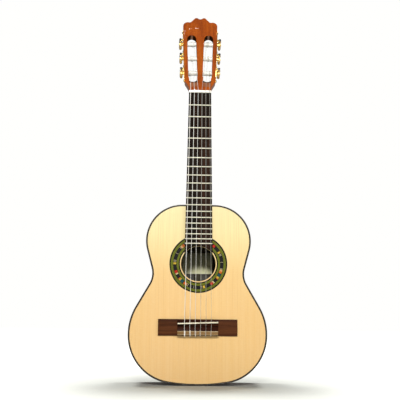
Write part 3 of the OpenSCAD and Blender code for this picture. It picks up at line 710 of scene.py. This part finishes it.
def windings(number, machine):
    """The string's turns on its roller, from where it passes the back to its hole."""
    d = STRING_D[number]
    pitch, reach = d + WRAP_GAP, lie(number)
    hole = string_hole_x(number)
    points, turns, per_turn = [], WRAPS + 0.75, 36
    start_angle = 182      # degrees round the roller from its front
    settle = 0.46          # the share of a turn in which the first wrap clears the incoming string
    closeness = 0.86       # the later turns' pitch, as a share of the first one's
    for i in range(int(turns * per_turn) + 1):
        t = i / per_turn
        x = pitch * (t / settle) if t < settle else pitch * (1 + (t - settle) * closeness)
        angle = math.radians(start_angle + 360 * t)
        points.append(machine.at(WRAP_X[number] + min(x, hole - WRAP_X[number]),
                                 -reach * math.cos(angle), reach * math.sin(angle)))
    last = math.radians(start_angle + 360 * turns)
    for fall in (0.9, 0.6, 0.1, -0.5):
        points.append(machine.at(hole, -reach * fall * math.cos(last),
                                 reach * fall * math.sin(last)))
    wire = WIRE if number in WOUND else 0.0
    coil = tube(f"windings_{number}", smooth_path(points, 2), d / 2 * MM, 10,
                wire * MM, WIRE_PITCH * MM)
    coil.data.materials.append(WINDING if number in WOUND else NYLON)
    return coil


def button_grip(number, machine):
    """A flattened oval grip on a collar, with a waist and softly pillowed faces."""
    outline = [    # (distance back, half width, half thickness)
        (0.0, 2.6, 2.6), (0.25, 3.1, 3.1), (2.6, 3.1, 3.1), (3.2, 2.75, 2.6), (4.4, 2.9, 2.3),
        (5.8, 4.3, 2.5), (7.4, 5.7, 2.9), (9.4, 6.5, 3.2), (11.2, 6.4, 3.15), (13.0, 5.6, 2.8),
        (14.6, 4.2, 2.2), (15.6, 2.5, 1.4), (16.0, 1.0, 0.6),
    ]
    sides, rings = 40, []
    for along, wide, thick in outline:
        ring = []
        for k in range(sides):
            a = 2 * math.pi * k / sides
            c, q = math.cos(a), math.sin(a)
            flat = 1.0 if along < 3.0 else 0.72      # the collar is round, the grip squarer
            ring.append(machine.worm + machine.back * (BUTTON_START + along) * MM
                        + machine.up * math.copysign(abs(c) ** flat, c) * wide * MM
                        + machine.out * math.copysign(abs(q) ** flat, q) * thick * MM)
        rings.append(ring)
    grip = loft(f"button_grip_{number}", rings)
    grip.data.materials.append(BUTTON)
    smooth = grip.modifiers.new("smooth", "SUBSURF")
    smooth.levels = smooth.render_levels = 1
    return grip


def tuning_machines():
    """The rollers' and buttons' finer shapes, each on its own moving body."""
    for number in STRING_NUMBERS:
        machine = Machine(number)
        post, peg = f"post_{number}", f"peg_{number}"
        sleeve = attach(roller_sleeve(number, machine), post)
        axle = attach(roller_axle(number, machine), post)
        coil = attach(windings(number, machine), post)
        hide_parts(f"roller_{number}")
        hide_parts(f"roller_{number}")
        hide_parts(f"roller_{number}")
        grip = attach(button_grip(number, machine), peg)
        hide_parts(f"button_{number}")


# ---------------------------------------------------------------- the strings
NUT_SPACING, SADDLE_SPACING = 7.74, 10.3
NUT_TOP, SADDLE_TOP = 7.0, 11.6      # heights above the soundboard's face
TIE_HOLE_Y = -4.4
SADDLE_Z_MM = SADDLE_Z / MM
NUT_Z_MM, HEAD_Z_MM = NUT_Z / MM, HEAD_Z / MM
BRIDGE_BACK_MM = BRIDGE_LOW.z / MM
TIE_FRONT_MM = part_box("tie_block_inlay")[1].z / MM
TIE_TOP_MM = BRIDGE_LOW.y / MM
SADDLE_SLANT = math.radians(2)


def tangent_angle(machine, reach, target):
    """Angle round the roller, from its front towards the crest, where a line to target leaves."""
    away = target - machine.centre
    back, up = away.dot(machine.back) / MM, away.dot(machine.up) / MM
    return math.atan2(-back, -up) - math.asin(reach / math.hypot(back, up))


def string_path(number, machine):
    """From behind the roller over the nut and the saddle to the tie hole, then the tied loop."""
    place = STRING_NUMBERS.index(number) - 2.5
    r = STRING_D[number] / 2
    nut_x, x = place * NUT_SPACING, place * SADDLE_SPACING
    side = 1 if number in WOUND else -1
    reach = lie(number)
    over_nut = mm(nut_x, -NUT_TOP - r - 0.03, HEAD_Z_MM + 0.4)
    leave = math.degrees(tangent_angle(machine, reach, over_nut))
    turn = [machine.at(WRAP_X[number], -reach * math.cos(math.radians(a)),
                       reach * math.sin(math.radians(a)))
            for a in [165 - 6 * i for i in range(25)] + [leave]]
    slant = x * math.tan(SADDLE_SLANT)
    straight = [
        over_nut,
        mm(nut_x, -NUT_TOP - r - 0.06, NUT_Z_MM - 0.4),
        mm(x, -SADDLE_TOP - r - 0.05, SADDLE_Z_MM + 0.6 + slant),
        mm(x, -SADDLE_TOP - r - 0.05, SADDLE_Z_MM - 0.6 + slant),
        mm(x, TIE_HOLE_Y - 0.4, TIE_FRONT_MM + 1.0),
    ]
    back, top = BRIDGE_BACK_MM, TIE_TOP_MM - r - 0.05
    loop = smooth_path([
        mm(x, TIE_HOLE_Y, TIE_FRONT_MM - 1.0),
        mm(x, TIE_HOLE_Y, back + 2.0),
        mm(x, TIE_HOLE_Y - 0.1, back - 0.5),
        mm(x + 0.3 * side, (TIE_HOLE_Y + top) / 2, back - 1.9),
        mm(x + 0.7 * side, top - 0.1, back - 0.7),
        mm(x + 1.1 * side, top, back + 1.5),
        mm(x + 1.2 * side, top, TIE_FRONT_MM - 1.2),
        mm(x + 1.2 * side, top + 1.4, TIE_FRONT_MM + 0.3 + r),
        mm(x + 0.7 * side, TIE_HOLE_Y + 0.6, TIE_FRONT_MM + 0.7 + r),
        mm(x - 0.1 * side, TIE_HOLE_Y + 0.6, TIE_FRONT_MM + 0.7 + r),
        mm(x - 0.3 * side, top + 1.4, TIE_FRONT_MM + 0.3 + r),
        mm(x - 0.1 * side, top, TIE_FRONT_MM - 1.2),
        mm(x - 0.1 * side, top - 0.2, back + 3.6),
        mm(x + 0.2 * side, top - 2 * r - 0.1, back + 1.6),
        mm(x + 0.6 * side, top - 1.2 * r, back + 0.2),
        mm(x + 0.7 * side, top + 0.2, back - 1.2),
    ], 6)
    return turn + straight + loop


def strings():
    """Each string as one tube, with a fine wire's ridges on the bass strings."""
    for number in STRING_NUMBERS:
        machine = Machine(number)
        wound = number in WOUND
        path = string_path(number, machine)
        if not wound:
            path = evenly(path, 0.6 * MM)
        line = tube(f"string_line_{number}", path, STRING_D[number] / 2 * MM,
                    8 if wound else 10, WIRE * MM if wound else 0.0, WIRE_PITCH * MM)
        line.data.materials.append(WINDING if wound else NYLON)
        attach(line, "guitar")
        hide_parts(f"string_{number}")


# ---------------------------------------------------------------- the rosette's mosaic
MOSAIC_IN, MOSAIC_OUT = 43.35, 48.65
INLAY_FACE, INLAY_FLOOR = -0.03, 0.4    # an inlay stands just proud of the board and ends in it
TILE_GAP = 0.12                         # degrees left free at each end of a tile
MOTIF = (  # (colour, degrees), clockwise as seen from the front
    ("red", 6.5), ("gap", 1.0), ("black", 12.5), ("gap", 1.0), ("yellow", 5.0), ("gap", 0.8),
    ("black", 1.4), ("cream", 1.0), ("black", 1.6), ("cream", 1.0), ("gap", 1.5),
    ("black", 14.5), ("cream", 0.8), ("black", 14.5), ("cream", 0.8), ("black", 1.4),
    ("cream", 0.8), ("peach", 4.5), ("orange", 5.0), ("gap", 1.0), ("teal", 8.0), ("yellow", 4.5),
    ("orange", 2.0), ("black", 8.5), ("gap", 1.2), ("cream", 2.2), ("peach", 1.8),
)
MOSAIC_START = 37.5   # where the first red tile begins, from the top
TILE_COLOURS = {
    "red": (0.62, 0.025, 0.010), "black": (0.010, 0.009, 0.010), "yellow": (0.72, 0.47, 0.05),
    "cream": (0.80, 0.70, 0.42), "peach": (0.78, 0.42, 0.16), "orange": (0.72, 0.16, 0.02),
    "teal": (0.012, 0.085, 0.10),
}


def tile_look(name, colour):
    """Dyed wood under a thin lacquer."""
    look = Look("tile_" + name, Coat_Weight=0.08, Coat_Roughness=0.2, Specular_IOR_Level=0.15)
    grain = look.noise(look.coords(), 1500.0, 3.0, 0.6)
    cloud = look.noise(look.coords(), 300.0, 2.0)
    dark = tuple(c * 0.6 for c in colour)
    tone = look.mix(look.ramp(cloud, [(0.35, 0.0), (0.65, 1.0)]), dark, colour)
    look.colour(look.mix(0.3, tone, look.ramp(grain, [(0.3, 0.6), (0.7, 1.2)]), "MULTIPLY"))
    look.roughness(grain, 0.22, 0.36)
    look.bump(grain, 0.1, 0.02)
    return look.material


def mosaic():
    """Dyed tiles let into the rosette's middle ring, repeated round it and cut under the board."""
    names = list(TILE_COLOURS)
    vertices, faces, colours = [], [], []
    angle, index = MOSAIC_START, 0
    while angle < MOSAIC_START + 360:
        name, span = MOTIF[index % len(MOTIF)]
        end = min(angle + span, MOSAIC_START + 360)
        if name != "gap" and end - angle > 0.3:
            steps = max(1, round(span / 2))
            rings = []
            for i in range(steps + 1):
                a = math.radians(angle + TILE_GAP + (end - angle - 2 * TILE_GAP) * i / steps)
                rings.append([mm(r * math.sin(a), y, r * math.cos(a))
                              for r, y in ((MOSAIC_IN, INLAY_FACE), (MOSAIC_OUT, INLAY_FACE),
                                           (MOSAIC_OUT, INLAY_FLOOR), (MOSAIC_IN, INLAY_FLOOR))])
            first = len(vertices)
            vertices += [p for ring in rings for p in ring]
            made = ring_faces(len(rings), 4)
            faces += [tuple(first + v for v in face) for face in made]
            colours += [names.index(name)] * len(made)
        angle, index = end, index + 1
    tiles = new_object("rosette_mosaic", vertices, faces, smooth=False)
    for name in names:
        tiles.data.materials.append(tile_look(name, TILE_COLOURS[name]))
    tiles.data.polygons.foreach_set("material_index", colours)
    recalculate(tiles)
    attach(tiles, "guitar")


# ---------------------------------------------------------------- the purfling
PURFLING_MM = 1.2


def front_loops(node):
    """The closed outlines of a node's front face, as lists of (x, z), widest first."""
    work = bmesh.new()
    work.from_mesh(frame["nodes"][node].data)
    bmesh.ops.remove_doubles(work, verts=work.verts, dist=0.001 * MM)
    face_y = min(v.co.y for v in work.verts)
    front = {f for f in work.faces if all(abs(v.co.y - face_y) < 0.01 * MM for v in f.verts)}
    beside = {}
    for edge in work.edges:
        if sum(f in front for f in edge.link_faces) == 1:
            a, b = edge.verts
            beside.setdefault(a, []).append(b)
            beside.setdefault(b, []).append(a)
    loops = []
    while beside:
        vert = next(iter(beside))
        loop = []
        while vert is not None:
            loop.append((vert.co.x, vert.co.z))
            ahead = beside.pop(vert)
            vert = next((v for v in ahead if v in beside), None)
        loops.append(loop)
    work.free()
    return sorted(loops, key=lambda loop: -max(x for x, z in loop))


def purfling():
    """A thin dark line let into the soundboard along the binding's inner edge."""
    loop = front_loops("top_binding")[1]
    area = sum(a[0] * b[1] - b[0] * a[1] for a, b in zip(loop, loop[1:] + loop[:1]))
    inward = math.copysign(1.0, area)
    rings = []
    for i, (x, z) in enumerate(loop):
        before, after = loop[i - 1], loop[(i + 1) % len(loop)]
        along = Vector((after[0] - before[0], after[1] - before[1])).normalized()
        dx, dz = -along.y * inward * PURFLING_MM * MM, along.x * inward * PURFLING_MM * MM
        rings.append([Vector((x + dx * far, y * MM, z + dz * far))
                      for far, y in ((0, INLAY_FACE), (1, INLAY_FACE),
                                     (1, INLAY_FLOOR), (0, INLAY_FLOOR))])
    line = loft("purfling", rings, closed=True)
    line.data.polygons.foreach_set("use_smooth", [False] * len(line.data.polygons))
    line.data.materials.append(BINDING)
    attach(line, "guitar")


# ---------------------------------------------------------------- floor, light and camera
def area_light(name, place, aim, size, power, tint=(1, 1, 1)):
    light = bpy.data.lights.new(name, "AREA")
    light.shape = "DISK"
    light.size = size
    light.energy = power
    light.color = tint
    thing = bpy.data.objects.new(name, light)
    thing.location = place
    thing.rotation_euler = (Vector(aim) - Vector(place)).to_track_quat("-Z", "Y").to_euler()
    bpy.context.scene.collection.objects.link(thing)


AMBIENT, MIRRORED = 0.13, 0.45      # the room's light on rough surfaces and in reflections
FLOOR_HALF = 6.0
FLOOR_GAP = 0.0003                  # between the guitar's tail and the floor


def studio():
    """A pale floor, soft lamps in front and behind, and a white room."""
    half = FLOOR_HALF
    corners = [(-half, -half, 0), (half, -half, 0), (half, half, 0), (-half, half, 0)]
    floor = new_object("studio_floor", corners, [(0, 1, 2, 3)])
    floor.location.z = TAIL_Z - FLOOR_GAP
    floor.data.materials.append(floor_look())
    middle = (0.0, 0.0, 0.05)
    area_light("key", (-0.12, -1.7, 0.86), middle, 0.35, 26.4, (1.0, 0.985, 0.95))
    area_light("fill", (1.3, -1.2, 0.5), middle, 1.0, 6.0)
    area_light("left_back", (-0.55, 0.55, 1.6), (0.0, 0.0, TAIL_Z), 0.5, 30.0)
    area_light("right_back", (0.45, 0.55, 1.6), (0.0, 0.0, TAIL_Z), 0.5, 26.0)
    # a small lamp whose gleam the lacquered head mirrors
    area_light("gleam", (-0.089, -1.32, 2.0), (-0.019, 0.03, 0.50), 0.07, 0.5)
    world = bpy.data.worlds.new("studio")
    bpy.context.scene.world = world
    world.use_nodes = True
    nodes, links = world.node_tree.nodes, world.node_tree.links
    background = nodes["Background"]
    background.inputs["Color"].default_value = (1.0, 1.0, 0.985, 1.0)
    # the backdrop itself is white, and what it lends to the surfaces is dimmer
    path = nodes.new("ShaderNodeLightPath")
    strength = nodes.new("ShaderNodeMapRange")
    lent = nodes.new("ShaderNodeMapRange")
    lent.inputs["To Min"].default_value = AMBIENT
    lent.inputs["To Max"].default_value = MIRRORED
    strength.inputs["To Max"].default_value = 1.0
    links.new(path.outputs["Is Glossy Ray"], lent.inputs["Value"])
    links.new(lent.outputs["Result"], strength.inputs["To Min"])
    links.new(path.outputs["Is Camera Ray"], strength.inputs["Value"])
    links.new(strength.outputs["Result"], background.inputs["Strength"])
    bpy.context.scene.view_settings.view_transform = "Standard"


CAMERA_BELOW_NUT = 0.4487
CAMERA_AWAY = 1.369
CAMERA_ASIDE = -0.038
CAMERA_TILT = math.radians(9.5)
CAMERA_TURN = math.radians(-1.675)
CAMERA_ROLL = math.radians(0.55)
LENS_MM = 63.0


def camera():
    """In front of the guitar, below its middle and tilted up."""
    lens = bpy.data.cameras.new("camera")
    lens.sensor_width = 36.0
    lens.lens = LENS_MM
    lens.clip_start = 0.01
    thing = bpy.data.objects.new("camera", lens)
    place = Matrix.Translation((CAMERA_ASIDE, -CAMERA_AWAY, NUT_Z - CAMERA_BELOW_NUT))
    thing.matrix_world = (
        place @ Matrix.Rotation(CAMERA_TURN, 4, "Z")
        @ Matrix.Rotation(math.radians(90) + CAMERA_TILT, 4, "X")
        @ Matrix.Rotation(CAMERA_ROLL, 4, "Z"))
    bpy.context.scene.collection.objects.link(thing)
    bpy.context.scene.camera = thing


tuning_machines()
strings()
mosaic()
purfling()
studio()
camera()
